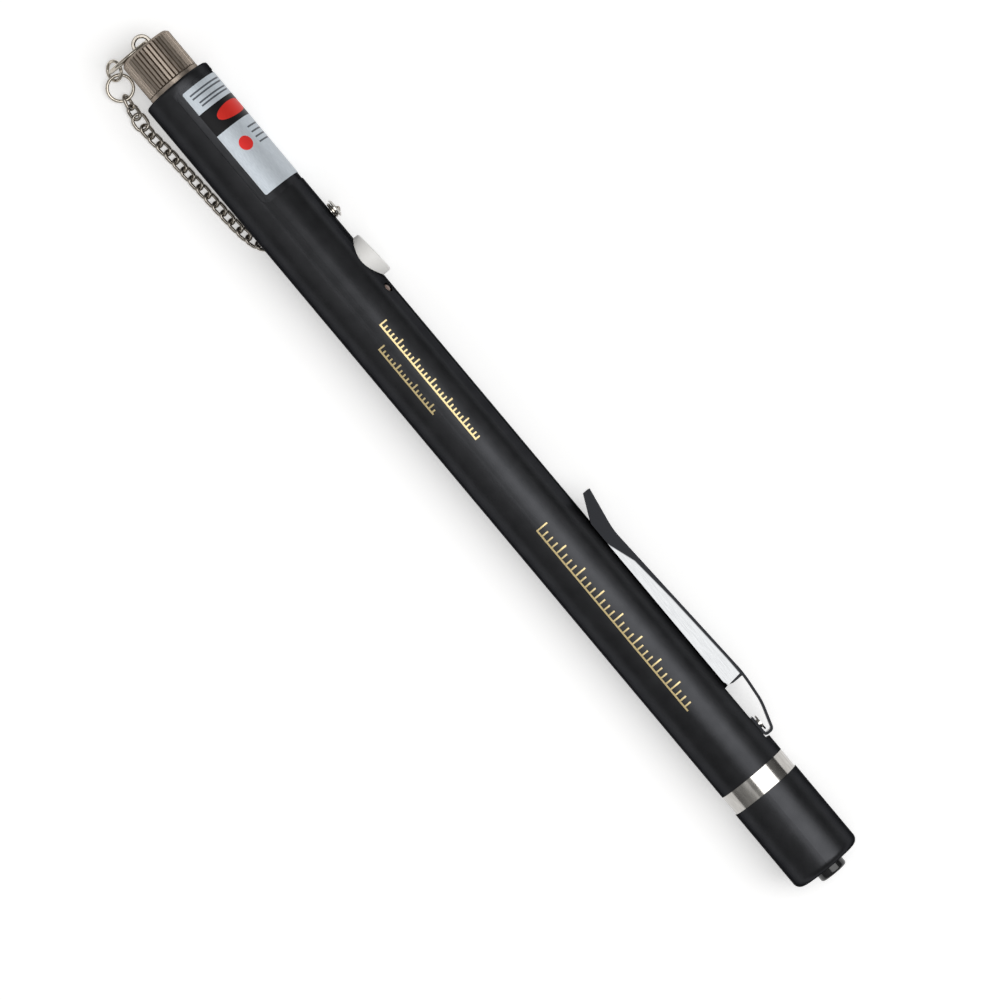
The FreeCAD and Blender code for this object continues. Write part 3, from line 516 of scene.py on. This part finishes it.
def make_rings(material):
    """The cap's ring and the two small rings that join it to the chain, in round wire."""
    box_low, box_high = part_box("cap_ring")
    cad_wire = 0.3 * MM
    centre = Vector(((box_low.x + box_high.x) / 2 + 0.3 * MM, (box_low.y + box_high.y) / 2,
                     (box_low.z + box_high.z) / 2 + 0.03 * MM))
    tilted = Vector((1, 0, -0.07)).normalized()
    small_centre = Vector((-2.5 * MM, -6.7 * MM, low.z + 1.58 * MM))
    joining_centre = Vector((0.5 * MM, -7.85 * MM, low.z + 1.35 * MM))
    to_chain = Vector((0.92, -0.39, 0))
    leaning = (UP + to_chain.cross(UP)).normalized()
    flat = Vector((0.12, -0.048, 1)).normalized()
    # Name, centre, radius of the middle line, axis, wire radius, the CAD node replaced.
    rings = [("cap_ring_wire", centre, (box_high.y - box_low.y) / 2 - cad_wire, tilted,
              0.38 * MM, "cap_ring"),
             ("small_ring", small_centre, 1.75 * MM, leaning, 0.32 * MM, "jump_ring"),
             ("joining_ring", joining_centre, 2.35 * MM, flat, 0.32 * MM, "jump_ring")]
    for name, middle, radius, axis, wire, node in rings:
        vertices, faces = wire_mesh([ring_path(middle, radius, axis)], wire, 14)
        ring = mesh_piece(name, vertices, faces, material)
        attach(ring, "dust_cap")
        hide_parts(node)


# The gilt print, in millimetres.
PRINT_LIFT = 0.008                      # over the barrel's surface
RULE_HALF, TICK_HALF = 0.16, 0.15       # half widths
SHORT_TICK = 0.62                       # share of a long tick's height


def gold_patch(vertices, faces, x0, x1, arc0, arc1, radius, steps=4):
    """A curved rectangle of print on the barrel; arcs are lengths round it from the top."""
    first = len(vertices)
    for step in range(steps + 1):
        angle = (arc0 + (arc1 - arc0) * step / steps) / radius
        y, z = radius * math.sin(angle), radius * math.cos(angle)
        vertices += [(x0, y, z), (x1, y, z)]
    for step in range(steps):
        a = first + 2 * step
        faces.append((a, a + 1, a + 3, a + 2))


def make_print(material):
    """Plain gilt scales where the barrel is printed: a thin rule with fine ticks on it."""
    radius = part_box("barrel")[1].z + PRINT_LIFT * MM
    # Start and end along the barrel, arc of the rule, tick height, pitch, every nth one long.
    scales = [(62.8, 89.2, 0.5, 1.5, 0.9, 5), (66.0, 81.0, -2.5, 1.3, 0.9, 5),
              (108.2, 149.6, -1.6, 2.3, 1.3, 4)]
    vertices, faces = [], []

    def patch(x0, x1, arc0, arc1):
        gold_patch(vertices, faces, x0 * MM, x1 * MM, arc0 * MM, arc1 * MM, radius)

    for start, end, arc, height, pitch, nth in scales:
        patch(start, end, arc - RULE_HALF, arc + RULE_HALF)
        for index in range(int((end - start) / pitch) + 1):
            x = start + TICK_HALF + index * pitch
            tall = height if index % nth == 0 else height * SHORT_TICK
            patch(x - TICK_HALF, x + TICK_HALF, arc + RULE_HALF, arc + tall)
    scale_print = mesh_piece("gilt_print", vertices, faces, material)
    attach(scale_print, "pen")


# ---------------------------------------------------------------- floor and light
FLOOR_GAP = 0.02 * MM
FLOOR_SIZE = 6
FLOOR_GLOW = 0.38                       # seen by the camera, in reflections and through glass
# Place, target, width, watts, and the other side where a lamp isn't square.
KEY_LAMP = ((0.27, 0.25, 0.75), (0.13, 0, 0), 0.62, 4.8, 0.85)
FILL_LAMP = ((-0.1, -0.5, 0.55), (0.1, 0, 0), 0.6, 0.5)


def make_floor():
    """A white floor that keeps the shadow."""
    bpy.ops.mesh.primitive_plane_add(size=FLOOR_SIZE, location=(0.1, 0, low.z - FLOOR_GAP))
    floor = bpy.context.object
    floor.name = "floor"
    m = Nodes("floor").set(Roughness=0.9, Specular_IOR_Level=0.1)
    m.set(Base_Color=(0.86, 0.86, 0.86, 1), Emission_Color=(1, 1, 1, 1))
    ray = m.tree.nodes.new("ShaderNodeLightPath").outputs
    seen = m.math("MAXIMUM", ray["Is Camera Ray"], m.math(
        "MAXIMUM", ray["Is Glossy Ray"], ray["Is Transmission Ray"]))
    m.link(m.math("MULTIPLY", seen, FLOOR_GLOW), "Emission Strength")
    floor.data.materials.append(m.material)


def area_light(name, place, target, width, watts, height=None):
    """A lamp that faces its target, square or of width times height."""
    data = bpy.data.lights.new(name, "AREA")
    data.energy = watts
    data.size = width
    if height:
        data.shape = "RECTANGLE"
        data.size_y = height
    lamp = bpy.data.objects.new(name, data)
    bpy.context.scene.collection.objects.link(lamp)
    lamp.location = place
    lamp.rotation_mode = "QUATERNION"
    lamp.rotation_quaternion = (Vector(target) - Vector(place)).to_track_quat("-Z", "Y")


def make_light():
    """A dim room, lighter above and on the chain's side, a wide lamp above and a weak fill."""
    world = bpy.data.worlds.new("room")
    bpy.context.scene.world = world
    world.use_nodes = True
    tree = world.node_tree
    background = tree.nodes["Background"]
    coords = tree.nodes.new("ShaderNodeTexCoord")
    split = tree.nodes.new("ShaderNodeSeparateXYZ")
    tree.links.new(coords.outputs["Generated"], split.inputs[0])

    def scaled(output, factor, start):
        """The output times factor plus start, kept between 0 and 1."""
        node = tree.nodes.new("ShaderNodeMath")
        node.operation = "MULTIPLY_ADD"
        node.use_clamp = True
        tree.links.new(output, node.inputs[0])
        node.inputs[1].default_value = factor
        node.inputs[2].default_value = start
        return node.outputs[0]

    total = tree.nodes.new("ShaderNodeMath")
    tree.links.new(scaled(split.outputs["Z"], 0.24, 0.06), total.inputs[0])
    tree.links.new(scaled(split.outputs["Y"], -0.12, 0.0), total.inputs[1])
    tree.links.new(total.outputs[0], background.inputs["Strength"])
    background.inputs["Color"].default_value = (1, 0.99, 0.97, 1)
    area_light("key", *KEY_LAMP)
    area_light("fill", *FILL_LAMP)


make_camera()
looks = dress_all()
make_print(gold_print())
make_rings(looks["cap_ring"])
make_chain(looks["chain"])
make_floor()
make_light()
bpy.context.scene.view_settings.view_transform = "Standard"
